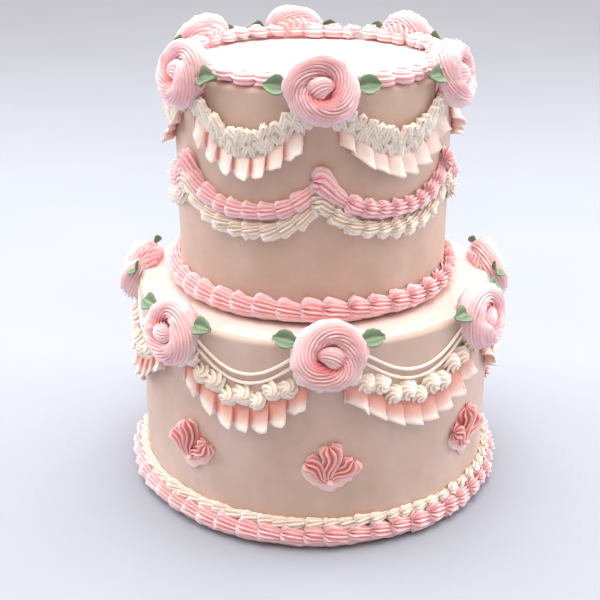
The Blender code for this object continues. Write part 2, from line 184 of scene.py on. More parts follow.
class IcingColours(bpy.types.PropertyGroup):
    """Colours of the icing"""

    # Painted light: the tops are given a lighter colour than the walls for the light from above, and the
    # walls the darker one as painted shade.
    tier: colour("Tier", "Smooth icing on top of the tiers", (0.86, 0.73, 0.69))
    tier_wall_painted_shade: colour("Wall", "Smooth icing of the walls", (0.615, 0.462, 0.38))
    pink: colour("Pink", "Ridges of the pink piping", (1.0, 0.74, 0.78))
    # Painted shade in the grooves of the pink piping.
    pink_groove_painted_shade: colour("Pink groove", "Grooves of the pink piping", (0.98, 0.46, 0.48))
    # A darker copy of the pink for the fans, as painted shade low on the front wall.
    fan: colour("Fan", "Ridges of the fans on the wall", (0.98, 0.70, 0.69))
    fan_groove_painted_shade: colour("Fan groove", "Grooves of the fans on the wall", (0.74, 0.23, 0.21))
    cream: colour("Cream", "Ridges of the cream piping", (0.98, 0.93, 0.85))
    # Painted shade in the grooves of the cream piping.
    cream_groove_painted_shade: colour("Cream groove", "Grooves of the cream piping", (0.88, 0.71, 0.60))
    ruffle: colour("Ruffle edge", "Edge of the ruffles", (0.96, 0.85, 0.80))
    # Partly the ruffles' own coral root, partly painted shade deep in the folds and on the back sheet.
    ruffle_root_and_painted_shade: colour("Ruffle root", "Root of the ruffles", (0.90, 0.46, 0.39))
    leaf: colour("Leaf", "Raised parts of the leaves", (0.26, 0.40, 0.26))
    # Painted shade in the hollows and on the underside of the leaves.
    leaf_hollow_painted_shade: colour("Leaf groove", "Hollows of the leaves", (0.09, 0.15, 0.08))
    floor: colour("Floor", "The pale floor", (0.36, 0.405, 0.475))


class StudioLights(bpy.types.PropertyGroup):
    """Strengths of the studio lights"""

    horizon: strength("Horizon", "Strength of the even light near the horizon", 0.20)
    crown: strength("Crown", "Strength of the even light overhead", 4.2)
    top: strength("Top light", "Power of the large light overhead, in watts", 9.0)
    side: strength("Side lights", "Power of each light beside the cake, in watts", 9.0)
    front: strength("Front light", "Power of the weak warm light in front, in watts", 1.2)


# Shapes


def unit(vectors):
    """Each vector divided by its own length."""
    return vectors / np.linalg.norm(vectors, axis=-1, keepdims=True)


def xyz(x, y, z):
    """Points from their three coordinates, each spread to the shape that they have in common."""
    return np.stack(np.broadcast_arrays(x, y, z), -1)


def wall_point(tier, angle, out, height):
    """Points (shift + r sin a, -r cos a, height) with r = the tier's radius + out."""
    turn = np.radians(angle)
    reach = tier.radius + out
    return xyz(tier.shift + reach * np.sin(turn), -reach * np.cos(turn), height)


def wall_normal(angle):
    """Directions (sin a, -cos a, 0), straight away from the wall."""
    turn = np.radians(angle)
    return xyz(np.sin(turn), -np.cos(turn), 0.0)


def spans(anchors):
    """Start and width of each stretch between neighbouring anchor angles."""
    order = sorted(angle % 360 for angle in anchors)
    following = order[1:] + order[:1]
    return [(a, (b - a) % 360 or 360.0) for a, b in zip(order, following)]


def swag(place, low, rise, cap):
    """Height of a sagging line: the soft lesser of low + rise (1 - 2 place)^2 and cap."""
    soft = 3.0 * MM
    height = low + rise * (1 - 2 * place) ** 2
    return -soft * np.log(np.exp(-height / soft) + np.exp(-cap / soft))


def pieces_in(width, radius, pitch):
    """How many whole pieces of about one pitch fit in a stretch of a given angle."""
    return max(2, round(radians(width) * radius / pitch))


def mids(count):
    """Numbers spaced evenly from 0 to 1, half a step clear of either end."""
    return (np.arange(count) + 0.5) / count


def wander(place, count, chance):
    """Straight lines between random values from -1 to 1 at every half step, from 0 to count."""
    knots = 2 * count + 1
    return np.interp(place, np.arange(knots) / 2, chance.uniform(-1, 1, knots))


def tears(runs, steps, ridges, fine, chance):
    """How far each ridge wanders along a path, from -1 to 1: straight lines between random knots."""
    knots = steps // 3 + 2
    values = chance.uniform(-1, 1, (*runs, knots, ridges))
    place = np.linspace(0, knots - 1.001, steps)
    low = place.astype(int)
    part = (place - low)[:, None]
    along = values[..., low, :] * (1 - part) + values[..., low + 1, :] * part
    nearest = np.round(np.arange(fine * ridges) / fine).astype(int) % ridges
    return along[..., nearest]


def ridged(path, thick, raised, nozzle, twist=0.0, jag=0.0, chance=None):
    """Icing from a star nozzle carried along paths, as (points, crest).

    A ring point is path + reach (cos b side + flat sin b up) - jag c ahead, and reach is
    thick (1 - depth + depth c) (1 + torn c w). The angle a runs once round, with fine points for each
    ridge, and c = |2 frac(ridges a / 2 pi) - 1| is 0 in a groove and 1 on a ridge. w is how far the ridge
    wanders, and b = a + twist turns the ridges round the rope. side is square to the path and to the
    raised direction, and up is square to both.
    """
    ridges, depth, fine, flat, torn = nozzle
    around = fine * ridges
    ahead = unit(np.gradient(path, axis=-2))
    side = unit(np.cross(ahead, raised))
    up = np.cross(side, ahead)
    a = np.linspace(0, 2 * pi, around, endpoint=False)
    # This value also picks the colour: the grooves are painted with the darker colour as their shade, and the
    # ridges take the lighter one.
    crest = np.abs(2 * (np.arange(around) / fine % 1) - 1)
    b = a + np.asarray(twist)[..., None]
    reach = thick[..., None] * (1 - depth + depth * crest)
    if torn:
        *runs, steps = thick.shape
        reach = reach * (1 + torn * crest * tears(runs, steps, ridges, fine, chance))
    ring = np.cos(b)[..., None] * side[..., None, :] + flat * np.sin(b)[..., None] * up[..., None, :]
    start = crest[:, None] * (np.asarray(jag)[..., None] * ahead)[..., None, :]
    return path[..., None, :] + reach[..., None] * ring - start, np.broadcast_to(crest, reach.shape)


def wedge(s, taper):
    """Thickness along a piped shell: a blunt round head over the first 12%, then 1 - taper s^1.1."""
    return np.sqrt(1 - (1 - np.minimum(s / 0.12, 1)) ** 2) * (1 - taper * s**1.1)


def shell_run(tier, line, count, shell, chance, first=1.0):
    """Shells one after another along a line, each head over the tail before it.

    Shell i runs from place (i - 0.3) / count over shell.length pitches, with wedge thickness. Its middle is
    out + lift (0.5 - s) from the wall and lean (0.4 - s) above the line, and its ridges start before its
    grooves by jag, like fingers. The first shell is larger by the factor first.
    """
    s = mids(shell.rings) ** 1.4
    lead = chance.uniform(-0.09, 0.09, (count, 1))
    size = 1 + chance.uniform(-0.11, 0.09, (count, 1))
    size[0] *= first
    place = (np.arange(count)[:, None] + lead - 0.3 + shell.length * s) / count
    angle, height = line(place)
    height = height + shell.lean * (0.4 - s) + chance.normal(0, 0.2 * MM, (count, 1))
    out = shell.out * size + shell.lift * (0.5 - s)
    path = wall_point(tier, angle, out, height)
    thick = shell.thick * size * wedge(s, 0.55)
    roll = chance.uniform(-0.2, 0.2, (count, 1)) + 0.3 * s
    jag = shell.jag * size * np.clip(1 - s / 0.6, 0, 1)
    nozzle = Nozzle(shell.ridges, shell.depth, SHELL_FINE, SHELL_FLAT, shell.torn)
    points, crest = ridged(path, thick, wall_normal(angle), nozzle, roll, jag, chance)
    return list(zip(points, crest, chance.uniform(0, 1, count)))


def shell_ring(tier, reach, pitch, height, shell, chance):
    """A row of shells all round a tier at one height, a pitch apart at a reach from the wall."""
    count = pieces_in(360, tier.radius + reach, pitch)
    return shell_run(tier, lambda place: (360 * place, np.full_like(place, height)), count, shell, chance)


def above(grids, floor):
    """The tubes, each point raised to a floor where it lies below it."""
    for points, _, _ in grids:
        points[..., 2] = np.maximum(points[..., 2], floor)
    return grids


def two_sided(front, thick):
    """A closed strip: its front sheet joined to a back sheet at front - thick normal."""
    ahead = np.gradient(front, axis=0)
    across = np.gradient(front, axis=1)
    normal = unit(np.cross(ahead, across))
    back = front - normal * thick
    return np.concatenate([front, back[:, ::-1]], axis=1)


def placed(points, axes, origin):
    """Local (x, y, z) points turned to three axes and moved to an origin."""
    return points @ np.asarray(axes) + np.asarray(origin)


def facing(tier, angle, out, height, tilt, roll=0.0):
    """Axes (right, up, out) and the origin at a place on a wall, leaning back by tilt and rolled."""
    t, lean, spin = radians(angle), radians(tilt), radians(roll)
    right = np.array((cos(t), sin(t), 0.0))
    away = np.array((sin(t) * cos(lean), -cos(t) * cos(lean), sin(lean)))
    up = np.cross(away, right)
    axes = (right * cos(spin) + up * sin(spin), up * cos(spin) - right * sin(spin), away)
    return axes, wall_point(tier, angle, out, height)


# Meshes


def tube_faces(steps, around, first):
    """Quads between neighbouring rings of a tube and a fan of triangles over each of its ends."""
    index = first + np.arange(steps * around).reshape(steps, around)
    turned = np.roll(index, -1, axis=1)
    quads = np.stack([index[:-1], index[1:], turned[1:], turned[:-1]], -1).reshape(-1, 4)
    start = np.full(around, first + steps * around)
    fans = [np.stack([start, index[0], turned[0]], -1), np.stack([start + 1, turned[-1], index[-1]], -1)]
    return quads, np.concatenate(fans)


def show(name, data):
    """A new object in the scene."""
    shown = bpy.data.objects.new(name, data)
    bpy.context.scene.collection.objects.link(shown)
    return shown


def add_piece(name, grids, kind, nodes):
    """One object from closed tubes, each given as points (steps, around, 3), crest and tone.

    The colour share, which holds the ridges together with painted light and shade, and the tone become point
    attributes. The kind is a key of ICINGS, and the piece stands for the nodes.
    """
    points, crest_and_painted_light_parts, tones, quads, fans = [], [], [], [], []
    first = 0
    for grid, crest, tone in grids:
        steps, around, _ = grid.shape
        more_quads, more_fans = tube_faces(steps, around, first)
        quads.append(more_quads)
        fans.append(more_fans)
        points += [grid.reshape(-1, 3), grid[0].mean(0)[None], grid[-1].mean(0)[None]]
        for values, value in ((crest_and_painted_light_parts, crest), (tones, tone)):
            whole = np.broadcast_to(value, (steps, around))
            values += [whole.ravel(), whole[0].mean()[None], whole[-1].mean()[None]]
        first += steps * around + 2
    mesh = bpy.data.meshes.new(name)
    fill_mesh(mesh, np.concatenate(points), np.concatenate(quads), np.concatenate(fans))
    for label, values in (("crest", crest_and_painted_light_parts), ("tone", tones)):
        layer = mesh.attributes.new(label, "FLOAT", "POINT")
        layer.data.foreach_set("value", np.concatenate(values).astype(np.float32))
    mesh.materials.append(icing(kind))
    piece = show(name, mesh)
    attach(piece, "root")
    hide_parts(*nodes)


def fill_mesh(mesh, points, quads, triangles):
    """Put whole arrays of points, quads and triangles into a mesh and shade it smooth."""
    mesh.vertices.add(len(points))
    mesh.vertices.foreach_set("co", points.astype(np.float32).ravel())
    corners = np.concatenate([quads.ravel(), triangles.ravel()]).astype(np.int32)
    mesh.loops.add(len(corners))
    mesh.loops.foreach_set("vertex_index", corners)
    triangle_starts = quads.size + 3 * np.arange(len(triangles))
    starts = np.concatenate([4 * np.arange(len(quads)), triangle_starts]).astype(np.int32)
    mesh.polygons.add(len(starts))
    mesh.polygons.foreach_set("loop_start", starts)
    mesh.update(calc_edges=True)
    mesh.shade_smooth()


# Materials


def feed(tree, node, inputs):
    """Join a node's inputs to other nodes' outputs, or set them to plain values."""
    for label, value in inputs.items():
        if isinstance(value, bpy.types.NodeSocket):
            tree.links.new(value, node.inputs[label])
        else:
            node.inputs[label].default_value = value


def add_node(tree, kind, inputs=None, **settings):
    """A new shader node with its settings made and its inputs fed."""
    node = tree.nodes.new("ShaderNode" + kind)
    for label, value in settings.items():
        setattr(node, label, value)
    feed(tree, node, inputs or {})
    return node


def noise(tree, scale, detail):
    """A noise texture on object coordinates, with its scale in cells per metre."""
    place = add_node(tree, "TexCoord").outputs["Object"]
    return add_node(tree, "TexNoise", {"Vector": place, "Scale": scale, "Detail": detail}).outputs["Fac"]


def spread(tree, value, low, high, new_low, new_high, smooth=False):
    """A value mapped from one range to another, along a straight line or along an S."""
    ranges = {"From Min": low, "From Max": high, "To Min": new_low, "To Max": new_high}
    course = "SMOOTHSTEP" if smooth else "LINEAR"
    return add_node(tree, "MapRange", {"Value": value, **ranges}, interpolation_type=course).outputs["Result"]


def worked(tree, operation, first, second, clamp=False):
    """Two values multiplied, or one raised to the power of the other."""
    node = add_node(tree, "Math", {0: first, 1: second}, operation=operation, use_clamp=clamp)
    return node.outputs["Value"]


def mixed(tree, share, first, second, kind="RGBA"):
    """The first colour or value blended into the second by a share from 0 to 1."""
    return add_node(tree, "Mix", {"Factor": share, "A": first, "B": second}, data_type=kind).outputs["Result"]


def brightened(tree, shade, amount):
    """A colour multiplied by a value."""
    return add_node(tree, "VectorMath", {0: shade, "Scale": amount}, operation="SCALE").outputs["Vector"]


def attribute(tree, label):
    """A point attribute as a value."""
    return add_node(tree, "Attribute", attribute_name=label).outputs["Fac"]


def surface(name):
    """A new material, its node tree and its shader."""
    material = bpy.data.materials.new(name)
    material.use_nodes = True
    tree = material.node_tree
    return material, tree, tree.nodes["Principled BSDF"]


def icing_group():
    """Node group for buttercream: groove colour, a painted shade, to ridge colour by the point attribute,
    soft mottling, a grain and fine bubbles.
    """
    if "buttercream" in bpy.data.node_groups:
        return bpy.data.node_groups["buttercream"]
    tree = bpy.data.node_groups.new("buttercream", "ShaderNodeTree")
    sockets = {
        "INPUT": (("Groove", "Color"), ("Ridge", "Color")),
        "OUTPUT": (("Color", "Color"), ("Roughness", "Float"), ("Height", "Float")),
    }
    for way, pairs in sockets.items():
        for label, kind in pairs:
            tree.interface.new_socket(label, in_out=way, socket_type="NodeSocket" + kind)
    inside = tree.nodes.new("NodeGroupInput")
    # Painted light and shade: the darker colour where the point attribute is low, the lighter one where it is
    # high.
    crest = spread(tree, attribute(tree, "crest"), 0.1, 0.85, 0.0, 1.0, smooth=True)
    shade = mixed(tree, crest, inside.outputs["Groove"], inside.outputs["Ridge"])
    blotches = spread(tree, noise(tree, 90.0, 3.0), 0.3, 0.7, 0.95, 1.04)
    tones = spread(tree, attribute(tree, "tone"), 0.0, 1.0, 0.97, 1.03)
    grain = noise(tree, 1500.0, 4.0)
    bubbles = spread(tree, noise(tree, 700.0, 1.0), 0.62, 0.74, 1.0, 0.3, smooth=True)
    feed(tree, tree.nodes.new("NodeGroupOutput"), {
        "Color": brightened(tree, shade, worked(tree, "MULTIPLY", blotches, tones)),
        "Roughness": spread(tree, grain, 0.3, 0.7, 0.62, 0.46),
        "Height": worked(tree, "MULTIPLY", grain, bubbles),
    })
    return tree


def icing(kind):
    """The material of a kind of icing, made once: the group above feeds its colour, roughness and bump."""
    name = kind + "_buttercream"
    if name in bpy.data.materials:
        return bpy.data.materials[name]
    recipe = ICINGS[kind]
    shades = bpy.context.scene.cake_colours
    groove, ridge = getattr(shades, recipe.groove), getattr(shades, recipe.ridge)
    material, tree, shader = surface(name)
    cream = add_node(tree, "Group", node_tree=icing_group())
    feed(tree, cream, {"Groove": (*groove, 1.0), "Ridge": (*ridge, 1.0)})
    raised = {"Strength": recipe.bump, "Distance": 0.4 * MM, "Height": cream.outputs["Height"]}
    feed(tree, shader, {
        "Base Color": cream.outputs["Color"],
        "Roughness": cream.outputs["Roughness"],
        "Normal": add_node(tree, "Bump", raised).outputs["Normal"],
        "Specular IOR Level": 0.35,
        "Subsurface Weight": recipe.soft,
        "Subsurface Radius": (1.0, 0.35, 0.25),
        "Subsurface Scale": 2.0 * MM,
    })
    material.diffuse_color = (*ridge, 1.0)
    return material


# Operators


def seeded(context, step):
    """The sizes, and a source of random draws for one step alone."""
    sizes = context.scene.cake_sizes
    return sizes, np.random.default_rng(sizes.seed + step)


def unevenness(angle, height, chance):
    """A smooth wander from about -1 to 1: a sum of nine sines with whole waves round the cake."""
    terms = 9
    waves = chance.integers(1, 9, terms)
    rise = chance.uniform(-70, 70, terms)
    phase = chance.uniform(0, 2 * pi, terms)
    turn = np.radians(angle)[..., None]
    return np.sin(waves * turn + rise * height[..., None] + phase).sum(-1) / terms**0.5 / 1.5


class CAKE_OT_tiers(bpy.types.Operator):
    """Smooth both tiers by hand"""

    bl_idname = "cake.tiers"
    bl_label = "Smooth tiers"

    def execute(self, context):
        sizes, chance = seeded(context, 0)
        # The lower walls take more of the lighter top colour than the upper ones.
        for tier, pale in ((LOWER, 0.33), (UPPER, 0.18)):
            grid, crest = self.turned(tier, sizes.hand, pale, chance)
            node = f"{tier.name}_tier"
            add_piece(node + "_icing", [(grid, crest, 0.5)], "tier", [node])
        return {"FINISHED"}

    def turned(self, tier, hand, pale, chance):
        """A profile turned round the axis: top, rounded edge, wall and foot.

        Each point is moved in from the wall, or down from the top, by hand (1 - wander) / 2. The colour share
        is pale + 0.12 wander, and 0.75 more on top: the walls take the painted shade of the wall colour and
        the tops the lighter colour of painted light from above.
        """
        middle, edge = 0.5 * MM, 3.0 * MM
        top_rings, edge_rings, wall_rings, foot_rings, sides = 25, 9, 38, 11, 300
        bend = np.radians(np.linspace(90, 0, edge_rings))
        inner = tier.radius - edge
        radius = np.concatenate([
            np.linspace(middle, inner, top_rings + 1)[:-1], inner + edge * np.cos(bend),
            np.full(wall_rings, tier.radius), np.linspace(tier.radius, middle, foot_rings + 1)[1:],
        ])
        height = np.concatenate([
            np.full(top_rings, tier.top), tier.top - edge + edge * np.sin(bend),
            np.linspace(tier.top - edge, tier.floor, wall_rings + 1)[1:], np.full(foot_rings, tier.floor),
        ])
        angle = np.linspace(0, 360, sides, endpoint=False)
        radius, height, angle = np.broadcast_arrays(radius[:, None], height[:, None], angle)
        inward = hand * (unevenness(angle, height + radius, chance) - 1) / 2
        on_top = height >= tier.top - 1e-9
        full = np.clip(radius / (30 * MM), 0, 1)
        reach = radius + np.where(on_top, 0, inward)
        level = height + np.where(on_top, inward * full, 0)
        points = wall_point(tier, angle, reach - tier.radius, level)
        # Painted light: 0.75 more on the top surfaces, which face the light from above.
        crest = pale + 0.12 * unevenness(angle * 2, height * 2, chance) + 0.75 * on_top
        return points, np.clip(crest, 0, 1)


class CAKE_OT_base_border(bpy.types.Operator):
    """Pipe the large pink shells round the foot and the cream shells on top of them"""

    bl_idname = "cake.base_border"
    bl_label = "Base border"

    def execute(self, context):
        sizes, chance = seeded(context, 1)
        large = Shell(
            thick=sizes.base_shell, ridges=13, depth=0.38, length=1.65, out=2.7 * MM, lift=2.6 * MM,
            lean=6.0 * MM, jag=3.8 * MM, torn=0.13,
        )
        shells = shell_ring(LOWER, 8 * MM, sizes.base_pitch, height=5.8 * MM, shell=large, chance=chance)
        add_piece("base_shell_border", above(shells, 0.0), "pink", ["base_shells"])
        small = Shell(
            thick=sizes.bead, ridges=7, depth=0.46, length=1.35, out=0.9 * MM, lift=3.0 * MM,
            lean=0.6 * MM, jag=2.4 * MM, torn=0.2, rings=16,
        )
        beads = shell_ring(LOWER, 3 * MM, sizes.bead_pitch, height=13.6 * MM, shell=small, chance=chance)
        add_piece("base_bead_border", beads, "cream", ["base_beads"])
        return {"FINISHED"}


class CAKE_OT_foot_border(bpy.types.Operator):
    """Pipe the pink shells where the upper tier stands on the lower one"""

    bl_idname = "cake.foot_border"
    bl_label = "Foot border"

    def execute(self, context):
        sizes, chance = seeded(context, 2)
        shell = Shell(
            thick=sizes.foot_shell, ridges=13, depth=0.38, length=1.65, out=1.3 * MM, lift=2.6 * MM,
            lean=5.2 * MM, jag=3.6 * MM, torn=0.12,
        )
        height = UPPER.floor + 6.6 * MM
        shells = shell_ring(UPPER, 4 * MM, sizes.foot_pitch, height, shell, chance)
        add_piece("foot_shell_border", above(shells, LOWER.top), "pink", ["foot_shells"])
        return {"FINISHED"}


class CAKE_OT_rim_swirls(bpy.types.Operator):
    """Pipe the row of small swirls along the top edge"""

    bl_idname = "cake.rim_swirls"
    bl_label = "Rim swirls"

    def execute(self, context):
        sizes, chance = seeded(context, 3)
        count = pieces_in(360, UPPER.radius - RIM_INSET, sizes.rim_pitch)
        grids = [self.swirl(sizes, 360 * i / count, chance) for i in range(count)]
        add_piece("rim_swirl_border", above(grids, UPPER.top), "pink", ["rim_swirls"])
        return {"FINISHED"}

    def swirl(self, sizes, angle, chance):
        """A ridged rope wound 1.7 turns inwards and upwards.

        Its distance from the middle is 4.3 mm (1 - s)^0.8, and its height above the tier 2.8 mm + 4.2 mm s.
        """
        s = mids(44)
        size = 1 + chance.uniform(-0.07, 0.07)
        turn = chance.uniform(0, 2 * pi) - 2 * pi * 1.7 * s
        wide = 4.3 * MM * size * (1 - s) ** 0.8
        path = xyz(1.12 * wide * np.cos(turn), wide * np.sin(turn), (2.8 + 4.2 * s) * MM)
        ends = np.clip(np.minimum(s / 0.05, (1 - s) / 0.25), 0.2, 1) ** 0.6
        thick = sizes.rim_rope * size * (1 - 0.3 * s) * ends
        nozzle = Nozzle(ridges=7, depth=0.34, fine=6, torn=0.1)
        points, crest = ridged(path, thick, OUTWARD, nozzle, 1.5 * s, chance=chance)
        axes, origin = facing(UPPER, angle, -RIM_INSET, UPPER.top, tilt=90)
        # Less of the painted groove shade towards the swirl's top.
        return placed(points, axes, origin), np.clip(crest + 0.35 * s[:, None], 0, 1), chance.uniform(0, 1)


class CAKE_OT_garland(bpy.types.Operator):
    """Pipe the cream rope to and fro between the upper rosettes"""

    bl_idname = "cake.garland"
    bl_label = "Upper garland"

    def execute(self, context):
        sizes, chance = seeded(context, 4)
        rows = ((-3.1 * MM, 1.2 * MM), (2.9 * MM, 2.5 * MM))
        grids = [
            self.folds(sizes, span, rise, out, chance)
            for span in spans(UPPER.roses) for rise, out in rows
        ]
        add_piece("upper_garland", grids, "cream", ["upper_scroll"])
        return {"FINISHED"}

    def folds(self, sizes, span, rise, out, chance):
        """One row of a star rope piped to and fro, of height middle + reach asin(0.88 sin(2 pi q)) / 1.08.

        q counts the folds, and each stroke lies half on the one before it. The row's middle is rise above the
        swag and out from the wall.
        """
        start, width = span
        count = pieces_in(width, UPPER.radius + 4 * MM, sizes.garland_pitch)
        q = np.linspace(0.25, count - 0.25, 16 * count)
        uneven, taller = (wander(q, count, chance) for _ in range(2))
        angle = start + width * (q + 0.28 * uneven + 0.09 * np.sin(4 * pi * q)) / count
        ends = np.clip(np.minimum(q, count - q) / 1.5, 0.6, 1)
        middle = swag(q / count, *SCROLL_SAG) + rise * ends + 0.8 * MM * uneven
        reach = (sizes.garland_width / 4 - 0.2 * MM) * (1 + 0.4 * taller) * ends
        height = middle + reach * np.arcsin(0.88 * np.sin(2 * pi * q)) / 1.08
        away = (out + (0.6 * uneven + 0.9 * np.sin(2 * pi * q)) * MM) * ends
        path = wall_point(UPPER, angle, away, height)
        thick = sizes.garland_rope * ends * (1 + 0.12 * uneven)
        nozzle = Nozzle(ridges=6, depth=0.40, fine=4, torn=0.16)
        points, crest = ridged(path, thick, wall_normal(angle), nozzle, 0.5 * uneven, chance=chance)
        # Less of the painted groove shade: the whole rope is lifted 0.12 towards the ridge colour.
        return points, np.clip(crest + 0.12, 0, 1), 0.5 + 0.5 * uneven[:, None]


def ruffle(tier, span, pleat, sag, drops, flare, pale, tuck, chance):
    """A strip hanging below a garland in squarish folds, each of which overlaps the next.

    Across the strip v runs from 1 at the edge to 0 at the root. Along it f runs from 0 to 1 in each fold,
    and the place is u + 0.30 r, where r = 1 - (1 - f / 0.78)^3 and falls back to 0 after f = 0.78. The
    distance out is 0.5 mm + flare (0.25 + 0.75 v) (0.12 + 0.88 r). The root and the edge hang below the
    garland's line by the two drops. The colour is pale at the root and turns to 1 as v^2, two tones from a
    coral root to a white edge, and it is 0 deep in a fold, a painted shade; the back sheet, towards the wall,
    takes 0.6 of it as a painted shade. The strip starts and ends tuck degrees short of the rosettes' middles.
    """
    start, width = span
    count = pieces_in(width, tier.radius + 5 * MM, pleat)
    short = count * tuck / width
    u = np.linspace(short, count - short, 30 * count)[:, None]
    ends = np.clip(np.minimum(u - short, count - short - u) / 0.8, 0.8, 1)
    v = np.linspace(1, 0, 11)
    uneven = wander(u[:, 0], count, chance)[:, None]
    f = u % 1
    shown = 0.78
    saw = np.where(f < shown, 1 - np.abs(1 - f / shown) ** 3, (1 - f) / (1 - shown))
    rise = 0.12 + 0.88 * saw
    opened = np.clip(v / 0.25, 0, 1)
    angle = start + width * (u + opened * (0.30 * (saw - 0.5) + 0.12 * uneven)) / count
    curl = 1 + 0.18 * np.clip((v - 0.75) / 0.25, 0, 1) ** 2
    out = 0.5 * MM + flare * (0.25 + 0.75 * v) * opened * rise * (0.86 + 0.12 * uneven) * curl
    root_drop, edge_drop = drops
    hang = (edge_drop - root_drop + 1.1 * MM * uneven + 0.7 * MM * (saw - 0.5)) * v * ends
    front = wall_point(tier, angle, out, swag(u / count, *sag) - root_drop - hang)
    strip = two_sided(front, 0.7 * MM)
    edge = np.clip((v - 0.80) / 0.20, 0, 1)
    # Painted shade deep in each fold.
    lit = np.clip((rise - 0.15) / 0.45, 0, 1)
    shade = np.clip(lit * (pale + (1 - pale) * v**2) + 0.5 * edge, 0, 1)
    # Painted shade on the back sheet, which faces the wall.
    return strip, np.concatenate([shade, 0.6 * shade[:, ::-1]], axis=1), 0.5 + 0.5 * uneven


class CAKE_OT_ruffles(bpy.types.Operator):
    """Pipe the pleated strips under the two garlands"""

    bl_idname = "cake.ruffles"
    bl_label = "Ruffles"

    def execute(self, context):
        sizes, chance = seeded(context, 5)
        upper_drops, lower_drops = (5.0 * MM, 15.6 * MM), (3.0 * MM, 16.2 * MM)
        rows = (
            (UPPER, sizes.upper_pleat, SCROLL_SAG, upper_drops, 0.62, 6.5),
            (LOWER, sizes.lower_pleat, STARS_SAG, lower_drops, 0.05, 5.2),
        )
        for tier, pleat, sag, drops, pale, tuck in rows:
            strips = [
                ruffle(tier, span, pleat, sag, drops, sizes.flare, pale, tuck, chance)
                for span in spans(tier.roses)
            ]
            node = f"{tier.name}_ruffle"
            add_piece(node + "_strip", strips, "ruffle", [node])
        return {"FINISHED"}


class CAKE_OT_swags(bpy.types.Operator):
    """Pipe the pink shell swags low on the upper tier and the cream ones below them"""

    bl_idname = "cake.swags"
    bl_label = "Shell swags"

    def execute(self, context):
        sizes, chance = seeded(context, 6)
        rose = Shell(
            thick=sizes.pink_shell, ridges=11, depth=0.40, length=1.7, out=0.0, lift=3.0 * MM,
            lean=2.2 * MM, jag=2.8 * MM, torn=0.10,
        )
        pale = Shell(
            thick=sizes.cream_shell, ridges=12, depth=0.44, length=1.7, out=-0.3 * MM, lift=2.6 * MM,
            lean=-1.6 * MM, jag=2.4 * MM, torn=0.2,
        )
        for kind, shell, drop in (("pink", rose, 0.0), ("cream", pale, 9.6 * MM)):
            grids = []
            for start, width in spans(UPPER.roses):
                count = pieces_in(width, UPPER.radius + 3 * MM, sizes.chain_pitch)
                line = self.line(start, width, drop)
                grids += shell_run(UPPER, line, count, shell, chance, first=1.35)
            add_piece(f"{kind}_shell_swag", grids, kind, [f"{kind}_chain"])
        return {"FINISHED"}

    def line(self, start, width, drop):
        """Height CHAIN_LOW + CHAIN_RISE |1 - 2 place|^2.6 - drop, and level beyond either end."""
        def chain(place):
            rise = CHAIN_RISE * np.abs(1 - 2 * np.clip(place, 0, 1)) ** 2.6
            return start + width * place, CHAIN_LOW + rise - drop

        return chain


class CAKE_OT_strings(bpy.types.Operator):
    """Drop the two thin strings between the lower rosettes"""

    bl_idname = "cake.strings"
    bl_label = "Drop strings"

    def execute(self, context):
        sizes, chance = seeded(context, 7)
        for row, sag in enumerate(STRING_SAGS, 1):
            grids = [self.string(sizes, span, sag, chance) for span in spans(LOWER.roses)]
            add_piece(f"drop_string_{row}_icing", grids, "cream", [f"drop_string_{row}"])
        return {"FINISHED"}

    def string(self, sizes, span, sag, chance):
        """A round string along a swag, thicker and thinner by 6% sin(23 s) and 4% sin(61 s)."""
        start, width = span
        s = np.linspace(0.02, 0.98, 90)
        lumps = 1 + 0.06 * np.sin(23 * s + chance.uniform(0, 6)) + 0.04 * np.sin(61 * s)
        thick = sizes.string / 2 * lumps
        angle = start + width * s
        path = wall_point(LOWER, angle, thick * 0.8, swag(s, *sag))
        points, _ = ridged(path, thick, wall_normal(angle), Nozzle(ridges=1, depth=0.0, fine=14))
        return points, 0.9, chance.uniform(0, 1)


class CAKE_OT_stars(bpy.types.Operator):
    """Pipe the cream star swirls of the lower garland"""

    bl_idname = "cake.stars"
    bl_label = "Star garland"

    def execute(self, context):
        sizes, chance = seeded(context, 8)
        grids = []
        for start, width in spans(LOWER.roses):
            count = pieces_in(width, LOWER.radius + 4 * MM, sizes.star_pitch)
            for i, place in enumerate(mids(count)):
                stagger = 1.7 * MM if i % 2 else -1.7 * MM
                height = swag(place, *STARS_SAG) + stagger
                grids.append(self.star(sizes, start + width * place, height, chance))
        add_piece("star_garland", grids, "cream", ["lower_stars"])
        return {"FINISHED"}

    def star(self, sizes, angle, height, chance):
        """A twisted drop of six deep lobes, which turns by 2.3 radians as it rises.

        Its half thickness is half cos(pi s^1.2 / 2)^0.7 at 6.4 mm s from the wall.
        """
        s = mids(20)
        half = sizes.star * (1 + chance.uniform(-0.12, 0.08))
        bend = chance.uniform(-1, 1, 2) * MM
        path = xyz(bend[0] * s**2, bend[1] * s**2, (6.4 * s - 0.2) * MM)
        thick = half * np.cos(pi / 2 * s**1.2) ** 0.7
        twist = 2.3 * s + chance.uniform(0, 2 * pi)
        nozzle = Nozzle(ridges=6, depth=0.50, fine=8, torn=0.1)
        points, crest = ridged(path, thick, UPWARD, nozzle, twist, chance=chance)
        axes, origin = facing(LOWER, angle, 0.0, height, tilt=8)
        return placed(points, axes, origin), crest, chance.uniform(0, 1)


